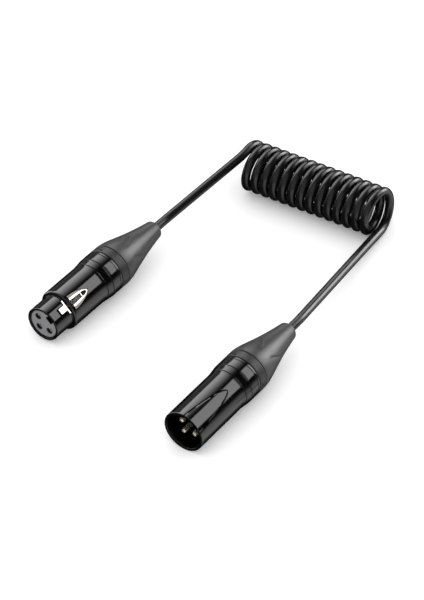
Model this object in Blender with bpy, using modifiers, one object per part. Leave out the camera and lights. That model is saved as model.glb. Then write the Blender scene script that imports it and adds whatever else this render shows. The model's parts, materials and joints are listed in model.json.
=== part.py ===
"""Coiled three-pole XLR extension cable: a socket connector and a plug, joined by a coil.

Each connector is built upright. Its axis is local +Z, from the mating face towards the
boot, and its key side, where the latch sits, is local -Y. An empty for each connector
then lays it on the table beside the coil. Sizes are in millimetres until MM scales them.
"""

import math

import bmesh
import bpy
from mathutils import Matrix, Vector

MM = 0.001
GAP = 0.3  # between pieces that touch on the real cable

# Cable and coil. The coil is left-handed and its axis is world X.
CABLE_R = 2.0
COIL_R = 9.4
COIL_PITCH = 4.59
COIL_FIRST_X = -32.6
COIL_ENDS = (-0.028, 14.528)  # turns from the first top, so the cable leaves on a slope
COIL_LEAD = 1.0  # straight cable at each end of the coil
COIL_STEPS = 14
TAIL_CORNER = 3.0  # reach of the rounded corner where a tail turns into the coil
CORNER_STEPS = 5

# Both shells.
SHELL_R = 9.5
COLLAR_R = 10.15
REAR_BORE_R = 8.2
REAR_BORE_DEPTH = 16.0
GROOVES_FROM_REAR = (9.4, 6.0)
GROOVE_WIDTH = 0.4
GROOVE_DEPTH = 0.25
FLARE_START = 11.7
FLARE_END = 4.4
EDGE = 0.35

# Socket connector.
SOCKET_SHELL = 41.6
NOSE_R = 8.0
NOSE_BORE_R = 7.0
NOSE_LENGTH = 10.4
LIP_ROUND = 1.2
SOCKET_INSERT = (0.6, 25.0)
SOCKET_INSERT_R = 6.75
CHANNEL_HALF_WIDTH = 1.7
CHANNEL_FLOOR = 5.2
NOTCH_HALF_WIDTH = 1.8
NOTCH_FLOOR = 3.8
NOTCH_END = 8.0

# Plug connector.
PLUG_SHELL = 40.3
PLUG_INSERT = (14.8, 24.0)
PLUG_INSERT_R = 7.9
FACET_DEPTH = 0.75
FACET_LENGTH = 24.0

# Contacts, on a circle round the axis: left, right and opposite the key.
CONTACT_CIRCLE = 3.9
CONTACT_ANGLES = (180.0, 0.0, 90.0)
PIN_R = 1.2
PIN_TIP = 2.8
SOCKET_FRONT = 2.2
CUP_R = 1.4
CUP_BORE_R = 1.0
CUP_DEPTH = 4.5
CUP_PAST_INSERT = 5.0
WIRE_R = 0.55

# Latch: a lever that turns on a cross pin behind the thumb tab.
LATCH_PIVOT = (7.6, 24.0)  # height above the axis, distance from the mating face
LATCH_PIN_R = 0.6
LATCH_PIN_HALF = 3.6
RUNNING_GAP = 0.08
TAB = (12.0, 22.4)
TAB_HALF_WIDTH = 3.3
TAB_TOP_R = 9.65
TAB_UNDERSIDE = 7.5
HOOK = (4.9, 8.6)
HOOK_HALF_WIDTH = 1.25
HOOK_TOP = 8.9
CROSS_BAR = (8.75, 9.75)
CROSS_HALF_WIDTH = 3.2

# Cable clamp, back nut and boot, measured from the shell's rear face.
CLAMP_FLANGE = (-10.3, -7.5)
CLAMP_REAR = 7.2
CLAMP_R = 5.2
JACKET_CLEARANCE = 0.35
SLEEVE_FRONT = -7.2
SLEEVE_R = 7.85
COLLAR_LENGTH = 4.1
SPIGOT_R = 7.4
SPIGOT_LENGTH = 4.5
BOOT_LENGTH = 30.7
BOOT_END_R = 4.25
BOOT_TIP = 1.5
JACKET_FRONT = -5.8
EXIT_BEND = 7.0  # past the boot, where the jacket heads for the coil
EXIT_REACH = 2.5
FLEX_PAST_BOOT = 16.0

# Where the connectors lie: mating face in the table's plane, heading and roll in degrees.
SOCKET_PLACE = (-53.4, -135.75)
SOCKET_HEADING = 6.1
SOCKET_ROLL = 42.0
PLUG_PLACE = (31.75, -162.2)
PLUG_HEADING = 4.5
PLUG_ROLL = 34.0

MATERIALS = {
    "shell_black": ((0.018, 0.018, 0.020), 0.18, 0.6),
    "insert_grey": ((0.16, 0.16, 0.17), 0.55, 0.0),
    "insert_black": ((0.02, 0.02, 0.02), 0.5, 0.0),
    "contact_gold": ((0.85, 0.72, 0.42), 0.25, 1.0),
    "latch_chrome": ((0.82, 0.80, 0.76), 0.12, 1.0),
    "spring_steel": ((0.6, 0.6, 0.6), 0.3, 1.0),
    "clamp_plastic": ((0.75, 0.75, 0.72), 0.5, 0.0),
    "nut_black": ((0.035, 0.035, 0.037), 0.42, 0.0),
    "boot_rubber": ((0.05, 0.05, 0.052), 0.6, 0.0),
    "cable_jacket": ((0.022, 0.022, 0.024), 0.3, 0.0),
    "wire_red": ((0.6, 0.03, 0.02), 0.45, 0.0),
    "wire_white": ((0.8, 0.8, 0.78), 0.45, 0.0),
    "wire_screen": ((0.72, 0.45, 0.3), 0.35, 1.0),
}


def clear_scene():
    for obj in list(bpy.data.objects):
        bpy.data.objects.remove(obj, do_unlink=True)


def new_collection(name, helpers=False):
    collection = bpy.data.collections.new(name)
    bpy.context.scene.collection.children.link(collection)
    collection.hide_render = helpers
    return collection


def make_materials():
    for name, (color, roughness, metallic) in MATERIALS.items():
        material = bpy.data.materials.new(name)
        material.use_nodes = True
        shader = material.node_tree.nodes["Principled BSDF"]
        shader.inputs["Base Color"].default_value = (*color, 1.0)
        shader.inputs["Roughness"].default_value = roughness
        shader.inputs["Metallic"].default_value = metallic


def add_object(name, mesh, finish, parent):
    """A part in the parts collection, or a helper in the cutters collection if it has no finish."""
    obj = bpy.data.objects.new(name, mesh)
    bpy.data.collections["xlr_cable_coil" if finish else "cutters"].objects.link(obj)
    obj.parent = parent
    if finish:
        mesh.materials.append(bpy.data.materials[finish])
    else:
        obj.hide_render = True
        obj.display_type = "WIRE"
    return obj


def add_empty(name, parent=None):
    empty = bpy.data.objects.new(name, None)
    bpy.data.collections["xlr_cable_coil"].objects.link(empty)
    empty.empty_display_size = 5 * MM
    empty.parent = parent
    return empty


def revolve(name, profile, finish, parent, steps=32, closed=True, at=(0.0, 0.0)):
    """Sweeps (radius, height) points round local Z. The outer side is listed from the rear down."""
    mesh = bpy.data.meshes.new(name)
    count = len(profile)
    edges = [(i, (i + 1) % count) for i in range(count if closed else count - 1)]
    mesh.from_pydata([(r * MM, 0.0, z * MM) for r, z in profile], edges, [])
    obj = add_object(name, mesh, finish, parent)
    obj.location = (at[0] * MM, at[1] * MM, 0.0)
    screw = obj.modifiers.new("revolve", "SCREW")
    screw.steps = steps
    screw.render_steps = steps
    screw.use_merge_vertices = True
    screw.merge_threshold = 0.00001
    screw.use_smooth_shade = True
    return obj


def solid_profile(sides):
    """Closes the side points, listed from the rear down, onto the axis at both ends."""
    return [(0.0, sides[0][1]), *sides, (0.0, sides[-1][1])]


def box(name, x, height, z, finish, parent):
    """A box from ranges: x across, height above the axis on the key side, and z along the axis."""
    low = Vector((x[0], -height[1], z[0])) * MM
    high = Vector((x[1], -height[0], z[1])) * MM
    mesh = bpy.data.meshes.new(name)
    shape = bmesh.new()
    size = Matrix.Diagonal((*(high - low), 1.0))
    bmesh.ops.create_cube(shape, size=1.0, matrix=Matrix.Translation((low + high) / 2) @ size)
    shape.to_mesh(mesh)
    shape.free()
    return add_object(name, mesh, finish, parent)


def cross_rod(name, radius, half_length, centre, finish, parent, segments=16):
    """A cylinder along local X, centred at (height above the axis, distance along it)."""
    mesh = bpy.data.meshes.new(name)
    shape = bmesh.new()
    turn = Matrix.Rotation(math.radians(90.0), 4, "Y")
    bmesh.ops.create_cone(
        shape,
        cap_ends=True,
        segments=segments,
        radius1=radius * MM,
        radius2=radius * MM,
        depth=2 * half_length * MM,
        matrix=turn,
    )
    shape.to_mesh(mesh)
    shape.free()
    obj = add_object(name, mesh, finish, parent)
    obj.location = (0.0, -centre[0] * MM, centre[1] * MM)
    return obj


def combine(obj, other, operation="DIFFERENCE"):
    boolean = obj.modifiers.new(other.name, "BOOLEAN")
    boolean.operation = operation
    boolean.solver = "EXACT"
    boolean.object = other


def tube(name, points, radius, finish, parent, bevel_resolution=2, shares=None):
    """A round tube along a path of points in millimetres; shares scale the radius at each point."""
    curve = bpy.data.curves.new(name + "_path", "CURVE")
    curve.dimensions = "3D"
    curve.bevel_depth = radius * MM
    curve.bevel_resolution = bevel_resolution
    curve.use_fill_caps = True
    spline = curve.splines.new("POLY")
    spline.points.add(len(points) - 1)
    shares = shares or [1.0] * len(points)
    for spot, point, share in zip(spline.points, points, shares):
        spot.co = (*(Vector(point) * MM), 1.0)
        spot.radius = share
    path = bpy.data.objects.new(name + "_path", curve)
    bpy.context.scene.collection.objects.link(path)
    evaluated = path.evaluated_get(bpy.context.evaluated_depsgraph_get())
    mesh = bpy.data.meshes.new_from_object(evaluated)
    mesh.name = name
    bpy.data.objects.remove(path, do_unlink=True)
    weld = bmesh.new()
    weld.from_mesh(mesh)
    bmesh.ops.remove_doubles(weld, verts=weld.verts, dist=0.00001)
    weld.to_mesh(mesh)
    weld.free()
    for polygon in mesh.polygons:
        polygon.use_smooth = len(polygon.vertices) == 4
    return add_object(name, mesh, finish, parent)


def leaf(name, half_width, path, thickness, finish, parent):
    """A bent strip: its path is a list of (height above the axis, distance along it)."""
    mesh = bpy.data.meshes.new(name)
    shape = bmesh.new()
    rows = []
    for height, z in path:
        spots = [(side * half_width * MM, -height * MM, z * MM) for side in (-1, 1)]
        rows.append([shape.verts.new(spot) for spot in spots])
    for first, second in zip(rows, rows[1:]):
        shape.faces.new((first[0], first[1], second[1], second[0]))
    shape.to_mesh(mesh)
    shape.free()
    obj = add_object(name, mesh, finish, parent)
    solidify = obj.modifiers.new("thickness", "SOLIDIFY")
    solidify.thickness = thickness * MM
    solidify.offset = 0.0
    solidify.use_even_offset = True
    return obj


def hermite(start, start_slope, end, end_slope, steps):
    """Points of the smooth curve between two points with given slopes there."""
    points = []
    for i in range(steps + 1):
        t = i / steps
        a = 2 * t**3 - 3 * t**2 + 1
        b = t**3 - 2 * t**2 + t
        c = 3 * t**2 - 2 * t**3
        d = t**3 - t**2
        points.append(a * start + b * start_slope + c * end + d * end_slope)
    return points


def rounded_corner(before, corner, after, reach, steps):
    """Points of a smooth corner between two straight runs."""
    start = corner + (before - corner).normalized() * reach
    end = corner + (after - corner).normalized() * reach
    points = []
    for i in range(steps + 1):
        t = i / steps
        points.append(start * (1 - t) ** 2 + corner * 2 * t * (1 - t) + end * t**2)
    return points


def bezier(points, steps):
    """(radius, height) points along a cubic curve."""
    found = []
    for i in range(steps + 1):
        t = i / steps
        weights = ((1 - t) ** 3, 3 * t * (1 - t) ** 2, 3 * t**2 * (1 - t), t**3)
        found.append(tuple(sum(w * p[axis] for w, p in zip(weights, points)) for axis in (0, 1)))
    return found


def arc(centre, radius, first, last, steps):
    """(radius, height) points of a round stretch, with angles in degrees from outward to rearward."""
    angles = [math.radians(first + (last - first) * i / steps) for i in range(steps + 1)]
    return [(centre[0] + radius * math.cos(a), centre[1] + radius * math.sin(a)) for a in angles]


def contact_places():
    angles = [math.radians(angle) for angle in CONTACT_ANGLES]
    return [(CONTACT_CIRCLE * math.cos(a), CONTACT_CIRCLE * math.sin(a)) for a in angles]


def shell_rear_sides(length):
    """The flared rear of a shell, from its rear face down to where its plain barrel starts."""
    flare = bezier(
        (
            (COLLAR_R, length - FLARE_END),
            (COLLAR_R, length - FLARE_END - 2.5),
            (SHELL_R, length - FLARE_START + 2.5),
            (SHELL_R, length - FLARE_START),
        ),
        8,
    )
    sides = [(COLLAR_R - EDGE, length), (COLLAR_R, length - EDGE), *flare]
    for distance in GROOVES_FROM_REAR:
        sides = with_groove(sides, length - distance)
    return sides


def with_groove(sides, middle):
    """Adds a square-cut groove to side points that run from the rear down."""
    rear = middle + GROOVE_WIDTH / 2
    front = middle - GROOVE_WIDTH / 2
    above = [point for point in sides if point[1] > rear]
    below = [point for point in sides if point[1] < front]
    radius = (above[-1][0] + below[0][0]) / 2
    floor = radius - GROOVE_DEPTH
    return [*above, (radius, rear), (floor, rear), (floor, front), (radius, front), *below]


def tab_outline(margin):
    """Half widths along the thumb tab: straight across the front, rounded to a point behind."""
    start = TAB[0] - margin
    length = TAB[1] - TAB[0] + 2 * margin
    width = TAB_HALF_WIDTH + margin
    steps = 10
    outline = []
    for i in range(steps + 1):
        t = i / steps
        outline.append((width * (1 - t**2.1) ** 0.75, start + length * t))
    return outline


def shield(name, margin, height, finish, parent):
    """The thumb tab's outline as a block between two heights above the axis."""
    outline = tab_outline(margin)
    ring = [(x, z) for x, z in outline] + [(-x, z) for x, z in reversed(outline[:-1])]
    mesh = bpy.data.meshes.new(name)
    shape = bmesh.new()
    spots = [shape.verts.new((x * MM, -height[0] * MM, z * MM)) for x, z in ring]
    face = shape.faces.new(spots)
    raised = bmesh.ops.extrude_face_region(shape, geom=[face])["geom"]
    moved = [item for item in raised if isinstance(item, bmesh.types.BMVert)]
    bmesh.ops.translate(shape, verts=moved, vec=(0.0, (height[0] - height[1]) * MM, 0.0))
    bmesh.ops.recalc_face_normals(shape, faces=shape.faces)
    shape.to_mesh(mesh)
    shape.free()
    return add_object(name, mesh, finish, parent)


def make_socket_shell(parent):
    lip = arc((SHELL_R - LIP_ROUND, NOSE_LENGTH + LIP_ROUND), LIP_ROUND, 0.0, -90.0, 4)
    rear = SOCKET_SHELL - REAR_BORE_DEPTH
    outer = [
        *shell_rear_sides(SOCKET_SHELL),
        *lip,
        (NOSE_R, NOSE_LENGTH),
        (NOSE_R, EDGE),
        (NOSE_R - EDGE, 0.0),
    ]
    inner = [
        (NOSE_BORE_R, 0.0),
        (NOSE_BORE_R, rear),
        (REAR_BORE_R, rear + 1.0),
        (REAR_BORE_R, SOCKET_SHELL),
    ]
    shell = revolve("socket_shell", outer + inner, "shell_black", parent)
    half = HOOK_HALF_WIDTH + 0.35
    cross = CROSS_HALF_WIDTH + 0.35
    deep = (5.0, 12.0)
    z_cross = (CROSS_BAR[0] - 0.35, CROSS_BAR[1] + 0.35)
    window = shield("latch_window", 0.35, (6.0, 12.0), None, parent)
    z_hook = (HOOK[0] - 0.4, NOSE_LENGTH - 0.2)
    z_lip = (NOSE_LENGTH - 0.7, TAB[0] + 1.0)
    hook_slot = box("hook_slot", (-half, half), deep, z_hook, None, parent)
    under_lip = box("under_lip", (-half, half), (5.0, 8.1), z_lip, None, parent)
    cross_slot = box("cross_slot", (-cross, cross), deep, z_cross, None, parent)
    pocket = box("pivot_pocket", (-1.8, 1.8), (5.0, 8.7), (20.0, 25.8), None, parent)
    radius = LATCH_PIN_R + RUNNING_GAP
    pin_hole = cross_rod("pin_hole", radius, LATCH_PIN_HALF + 0.2, LATCH_PIVOT, None, parent)
    for cutter in (window, hook_slot, under_lip, cross_slot, pocket, pin_hole):
        combine(shell, cutter)
    return shell


def make_plug_shell(parent):
    outer = [
        *shell_rear_sides(PLUG_SHELL),
        (SHELL_R, EDGE),
        (SHELL_R - EDGE, 0.0),
    ]
    inner = [(REAR_BORE_R, 0.0), (REAR_BORE_R, PLUG_SHELL)]
    shell = revolve("plug_shell", outer + inner, "shell_black", parent)
    facet = box("plug_facet", (-8.0, 8.0), (0.0, 6.0), (-40.0, 40.0), None, parent)
    facet.location = (0.0, -(SHELL_R - FACET_DEPTH) * MM, 0.0)
    facet.rotation_euler.x = math.atan(FACET_DEPTH / FACET_LENGTH)
    combine(shell, facet)
    return shell


def make_insert(name, span, radius, bore_profile, finish, parent):
    sides = [(radius - EDGE, span[1]), (radius, span[1] - EDGE), (radius, span[0] + EDGE)]
    sides.append((radius - EDGE, span[0]))
    insert = revolve(name, solid_profile(sides), finish, parent, closed=False)
    for number, place in enumerate(contact_places(), 1):
        label = f"{name}_bore_{number}"
        bore = revolve(label, solid_profile(bore_profile), None, parent, 16, False, place)
        combine(insert, bore)
    return insert


def make_socket_insert(parent):
    bore_r = 2.0
    entry_r = 1.45
    start, end = SOCKET_INSERT
    profile = [(bore_r, end + 1.0), (bore_r, SOCKET_FRONT - GAP)]
    profile += [(entry_r, SOCKET_FRONT - GAP), (entry_r, start - 1.0)]
    insert = make_insert(
        "socket_insert", SOCKET_INSERT, SOCKET_INSERT_R, profile, "insert_grey", parent
    )
    half = CHANNEL_HALF_WIDTH
    wide = CROSS_HALF_WIDTH + 0.5
    z_cross = (CROSS_BAR[0] - 0.5, CROSS_BAR[1] + 0.5)
    channel = box(
        "latch_channel", (-half, half), (CHANNEL_FLOOR, 9.0), (start - 1.0, end + 1.0), None, parent
    )
    pocket = box("cross_pocket", (-wide, wide), (CHANNEL_FLOOR, 9.0), z_cross, None, parent)
    sides = (-NOTCH_HALF_WIDTH, NOTCH_HALF_WIDTH)
    z_notch = (start - 1.0, NOTCH_END)
    notch = box("key_notch", sides, (NOTCH_FLOOR, 9.0), z_notch, None, parent)
    combine(insert, channel)
    combine(insert, pocket)
    combine(insert, notch)
    return insert


def make_plug_insert(parent):
    bore_r = CUP_R + 0.25
    profile = [(bore_r, PLUG_INSERT[1] + 1.0), (bore_r, PLUG_INSERT[0] - 1.0)]
    return make_insert("plug_insert", PLUG_INSERT, PLUG_INSERT_R, profile, "insert_black", parent)


def cup_profile(insert_end):
    """The solder cup behind an insert: its bore, its rim and its outside, from the rear down."""
    rear = insert_end + CUP_PAST_INSERT
    floor = rear - CUP_DEPTH
    return [(0.0, floor), (CUP_BORE_R, floor), (CUP_BORE_R, rear), (CUP_R, rear)]


def make_socket_contacts(parent):
    sleeve_r = 1.75
    bore_r = PIN_R + 0.05
    bore_end = 14.0
    end = SOCKET_INSERT[1]
    profile = cup_profile(end)
    profile += [(CUP_R, end - 1.6), (sleeve_r, end - 2.0), (sleeve_r, SOCKET_FRONT)]
    profile += [(bore_r, SOCKET_FRONT), (bore_r, bore_end), (0.0, bore_end)]
    for number, place in enumerate(contact_places(), 1):
        name = f"socket_contact_{number}"
        revolve(name, profile, "contact_gold", parent, 12, False, place)


def make_plug_pins(parent):
    profile = cup_profile(PLUG_INSERT[1])
    profile += [(CUP_R, PLUG_INSERT[0] + 1.5), (PIN_R, PLUG_INSERT[0] + 1.0)]
    profile += arc((0.0, PIN_TIP + PIN_R), PIN_R, 0.0, -90.0, 3)[:-1]
    profile.append((0.0, PIN_TIP))
    for number, place in enumerate(contact_places(), 1):
        revolve(f"plug_pin_{number}", profile, "contact_gold", parent, 12, False, place)


def make_ground_spring(name, insert_end, parent):
    """A bent leaf behind the insert that earths the shell."""
    z = insert_end + GAP
    path = [(2.2, z + 0.2), (5.4, z + 0.2), (7.0, z + 1.6), (7.6, z + 3.4), (7.2, z + 5.0)]
    leaf(name, 1.6, path, 0.3, "spring_steel", parent)


def make_wires(kind, insert_end, shell_length, parent):
    """Three cores that run from the solder cups to the end of the jacket."""
    cup_rear = insert_end + CUP_PAST_INSERT
    jacket = shell_length + JACKET_FRONT - GAP
    finishes = ("wire_screen", "wire_red", "wire_white")
    for number, (place, finish) in enumerate(zip(contact_places(), finishes), 1):
        floor = Vector((*place, cup_rear - CUP_DEPTH + GAP))
        start = Vector((*place, cup_rear))
        end = Vector((place[0] * 0.27, place[1] * 0.27, jacket))
        slope = Vector((0.0, 0.0, end.z - start.z))
        points = [floor, *hermite(start, slope, end, slope, 6)]
        tube(f"{kind}_wire_{number}", points, WIRE_R, finish, parent, 1)


def make_latch(connector, pivot):
    """The chromed lever: thumb tab, arm, hook, cross bar and the tongue round its pin."""
    tab = shield("latch", 0.0, (TAB_UNDERSIDE, 11.0), "latch_chrome", connector)
    crown = revolve(
        "latch_crown",
        solid_profile([(TAB_TOP_R, TAB[1] + 2.0), (TAB_TOP_R, TAB[0] - 2.0)]),
        None,
        connector,
        50,
        False,
    )
    combine(tab, crown, "INTERSECT")
    half = HOOK_HALF_WIDTH
    cross = CROSS_HALF_WIDTH
    height, z = LATCH_PIVOT
    arm = box("latch_arm", (-half, half), (6.6, 7.75), (HOOK[1] - 0.3, TAB[0] + 0.8), None, connector)
    hook = box("latch_hook", (-half, half), (6.7, HOOK_TOP), HOOK, None, connector)
    bar = box("latch_bar", (-cross, cross), (6.7, 7.5), CROSS_BAR, None, connector)
    tongue = box("latch_tongue", (-1.4, 1.4), (6.95, 8.3), (19.0, z + 1.2), None, connector)
    for piece in (arm, hook, bar, tongue):
        combine(tab, piece, "UNION")
    for side, span in (("left", (-cross, -cross + 1.2)), ("right", (cross - 1.2, cross))):
        ear = box(f"latch_ear_{side}", span, (7.0, 8.45), CROSS_BAR, None, connector)
        combine(tab, ear, "UNION")
    eye = cross_rod(
        "latch_eye", LATCH_PIN_R + RUNNING_GAP, half_length=3.0, centre=(height, z),
        finish=None, parent=connector,
    )
    combine(tab, eye)
    set_origin(tab, pivot)
    return tab


def set_origin(obj, pivot):
    """Hangs a part on the empty at its joint without moving it."""
    offset = Matrix.Translation(-pivot.location)
    obj.data.transform(offset)
    obj.parent = pivot


def make_latch_spring(parent):
    low = CHANNEL_FLOOR + GAP
    rise = 1.5
    start, end = 14.2, 18.8
    steps = 8
    path = []
    for i in range(steps + 1):
        t = i / steps
        path.append((low + rise * math.sin(math.pi * t), start + (end - start) * t))
    leaf("latch_spring", 1.2, path, 0.25, "spring_steel", parent)


def make_clamp(name, shell_length, parent):
    """The collet that grips the jacket: a flange, then four tapering fingers."""
    bore = CABLE_R + JACKET_CLEARANCE
    front = shell_length + CLAMP_FLANGE[0]
    flange = shell_length + CLAMP_FLANGE[1]
    rear = shell_length + CLAMP_REAR
    outer = [
        (3.6, rear),
        (CLAMP_R, rear - 4.5),
        (CLAMP_R, flange + 0.2),
        (7.5, flange),
        (7.5, front),
    ]
    inner = [(5.9, front), (5.9, front + 1.0), (bore, front + 5.5), (bore, rear)]
    clamp = revolve(name, outer + inner, "clamp_plastic", parent, 24)
    slit = (rear - 9.0, rear + 1.0)
    combine(clamp, box(f"{name}_slit_a", (-0.4, 0.4), (-9.0, 9.0), slit, None, parent))
    combine(clamp, box(f"{name}_slit_b", (-9.0, 9.0), (-0.4, 0.4), slit, None, parent))
    return clamp


def make_back_nut(name, shell_length, parent):
    """The screwed nut: a sleeve inside the shell, the outer collar and a spigot for the boot."""
    front = shell_length + SLEEVE_FRONT
    collar = shell_length + GAP
    collar_rear = collar + COLLAR_LENGTH
    rear = collar_rear + SPIGOT_LENGTH
    outer = [
        (SPIGOT_R, rear),
        (SPIGOT_R, collar_rear),
        (COLLAR_R - EDGE, collar_rear),
        (COLLAR_R, collar_rear - EDGE),
        (COLLAR_R, collar + EDGE),
        (COLLAR_R - EDGE, collar),
        (SLEEVE_R, collar),
        (SLEEVE_R, front),
    ]
    inner = [(5.55, front), (5.55, shell_length + 2.9), (4.3, rear)]
    return revolve(name, outer + inner, "nut_black", parent)


def boot_sides(shell_length):
    """The boot's outside, from its tip down to the collar."""
    front = shell_length + 2 * GAP + COLLAR_LENGTH
    tip = front + BOOT_LENGTH - GAP
    shoulder = tip - BOOT_TIP
    body = bezier(
        (
            (BOOT_END_R, shoulder),
            (7.1, front + 11.0),
            (9.9, front + 6.5),
            (COLLAR_R, front + EDGE),
        ),
        10,
    )
    round_tip = arc((BOOT_END_R - BOOT_TIP, shoulder), BOOT_TIP, 90.0, 0.0, 3)[:-1]
    return [*round_tip, *body, (COLLAR_R - EDGE, front)]


def make_boot(name, shell_length, parent):
    sides = boot_sides(shell_length)
    front = sides[-1][1]
    tip = sides[0][1]
    seat = front + SPIGOT_LENGTH
    bore = CABLE_R + JACKET_CLEARANCE
    inner = [
        (SPIGOT_R + GAP, front),
        (SPIGOT_R + GAP, seat),
        (bore, seat + 11.0),
        (bore, tip),
    ]
    return revolve(name, sides + inner, "boot_rubber", parent)


def overall_length(shell_length):
    return shell_length + GAP + COLLAR_LENGTH + BOOT_LENGTH


def cable_route(connector, shell_length, turn):
    """Four points: the bend behind the boot, the hinge, the corner by the coil and its end."""
    axis = (connector.matrix_world.to_3x3() @ Vector((0.0, 0.0, 1.0))).normalized()
    along = overall_length(shell_length) + EXIT_BEND
    exit_bend = connector.matrix_world.translation / MM + axis * along
    outward = coil_heading(turn) * (-1.0 if turn == COIL_ENDS[0] else 1.0)
    end = coil_point(turn) + outward * (COIL_LEAD + GAP)
    corner = end + outward * TAIL_CORNER
    way = (corner - exit_bend).normalized()
    flex = exit_bend + way * (FLEX_PAST_BOOT - EXIT_BEND)
    return exit_bend, flex, corner, end


def make_jacket_end(name, connector, shell_length, turn):
    """The jacket from inside the shell to the hinge, where it ends in a ball."""
    exit_bend, flex, _, _ = cable_route(connector, shell_length, turn)
    to_local = connector.matrix_world.inverted()
    exit_bend = (to_local @ (exit_bend * MM)) / MM
    flex = (to_local @ (flex * MM)) / MM
    front = Vector((0.0, 0.0, shell_length + JACKET_FRONT))
    way = (flex - exit_bend).normalized()
    bend = rounded_corner(front, exit_bend, flex, EXIT_REACH, CORNER_STEPS)
    points = [front, *bend, flex]
    shares = [1.0] * len(points)
    for angle in (22.5, 45.0, 67.5, 85.0):
        points.append(flex + way * CABLE_R * math.sin(math.radians(angle)))
        shares.append(math.cos(math.radians(angle)))
    return tube(name, points, CABLE_R, "cable_jacket", connector, shares=shares)


def resting_tilt(front, front_r, rear, rear_r):
    """The tilt at which two rings of a connector both touch the table."""
    return math.atan((rear_r - front_r) / (rear - front))


def lay_down(empty, place, heading, roll, tilt, front, front_r):
    """Lays a connector on the table: its axis along the heading, its front ring touching down."""
    height = front_r * math.cos(tilt) - front * math.sin(tilt)
    empty.matrix_world = (
        Matrix.Translation(Vector((*place, height)) * MM)
        @ Matrix.Rotation(-math.radians(heading), 4, "Z")
        @ Matrix.Rotation(tilt, 4, "X")
        @ Matrix.Rotation(math.radians(roll), 4, "Y")
        @ Matrix.Rotation(-math.radians(90.0), 4, "X")
    )


def coil_point(turn):
    angle = 2 * math.pi * turn
    centre_height = COIL_R + CABLE_R
    return Vector(
        (
            COIL_FIRST_X + COIL_PITCH * turn,
            COIL_R * math.sin(angle),
            centre_height + COIL_R * math.cos(angle),
        )
    )


def coil_heading(turn):
    """The unit direction in which the cable runs along the coil."""
    angle = 2 * math.pi * turn
    rise = COIL_PITCH / (2 * math.pi)
    return Vector((rise, COIL_R * math.cos(angle), -COIL_R * math.sin(angle))).normalized()


def make_coil(parent):
    first, last = COIL_ENDS
    count = round((last - first) * COIL_STEPS)
    points = [coil_point(first + (last - first) * i / count) for i in range(count + 1)]
    lead_in = points[0] - coil_heading(first) * COIL_LEAD
    lead_out = points[-1] + coil_heading(last) * COIL_LEAD
    return tube("coil", [lead_in, *points, lead_out], CABLE_R, "cable_jacket", parent)


def make_tail(name, connector, shell_length, turn, parent):
    """The cable from the hinge behind a connector to an end of the coil."""
    _, flex, corner, end = cable_route(connector, shell_length, turn)
    start = flex + (corner - flex).normalized() * (CABLE_R + GAP)
    points = [start, *rounded_corner(start, corner, end, TAIL_CORNER, CORNER_STEPS)]
    return tube(name, points, CABLE_R, "cable_jacket", parent)


def make_back_end(kind, shell_length, turn, connector):
    """The clamp, back nut and boot on their own empties, and the jacket's end."""
    slide = add_empty(f"{kind}_clamp_slide", connector)
    screw = add_empty(f"{kind}_nut_turn", slide)
    make_clamp(f"{kind}_clamp", shell_length, slide)
    make_back_nut(f"{kind}_back_nut", shell_length, screw)
    make_boot(f"{kind}_boot", shell_length, screw)
    make_jacket_end(f"{kind}_jacket_end", connector, shell_length, turn)


def make_socket_connector(connector):
    make_socket_shell(connector)
    make_socket_insert(connector)
    make_socket_contacts(connector)
    make_ground_spring("socket_ground_spring", SOCKET_INSERT[1], connector)
    make_wires("socket", SOCKET_INSERT[1], SOCKET_SHELL, connector)
    pivot = add_empty("latch_pivot", connector)
    pivot.location = (0.0, -LATCH_PIVOT[0] * MM, LATCH_PIVOT[1] * MM)
    make_latch(connector, pivot)
    cross_rod("latch_pin", LATCH_PIN_R, LATCH_PIN_HALF, LATCH_PIVOT, "spring_steel", connector)
    make_latch_spring(connector)
    make_back_end("socket", SOCKET_SHELL, COIL_ENDS[0], connector)


def make_plug_connector(connector):
    make_plug_shell(connector)
    make_plug_insert(connector)
    make_plug_pins(connector)
    make_ground_spring("plug_ground_spring", PLUG_INSERT[1], connector)
    make_wires("plug", PLUG_INSERT[1], PLUG_SHELL, connector)
    make_back_end("plug", PLUG_SHELL, COIL_ENDS[1], connector)


def centre_on_floor(frame):
    """Moves the whole assembly so that its box stands centred on the world's origin."""
    bpy.context.view_layer.update()
    graph = bpy.context.evaluated_depsgraph_get()
    corners = []
    for obj in bpy.data.collections["xlr_cable_coil"].objects:
        if obj.type != "MESH":
            continue
        evaluated = obj.evaluated_get(graph)
        corners += [evaluated.matrix_world @ vertex.co for vertex in evaluated.data.vertices]
    low = [min(corner[axis] for corner in corners) for axis in range(3)]
    high = [max(corner[axis] for corner in corners) for axis in range(3)]
    frame.location = (-(low[0] + high[0]) / 2, -(low[1] + high[1]) / 2, -low[2])
    bpy.context.view_layer.update()


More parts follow.
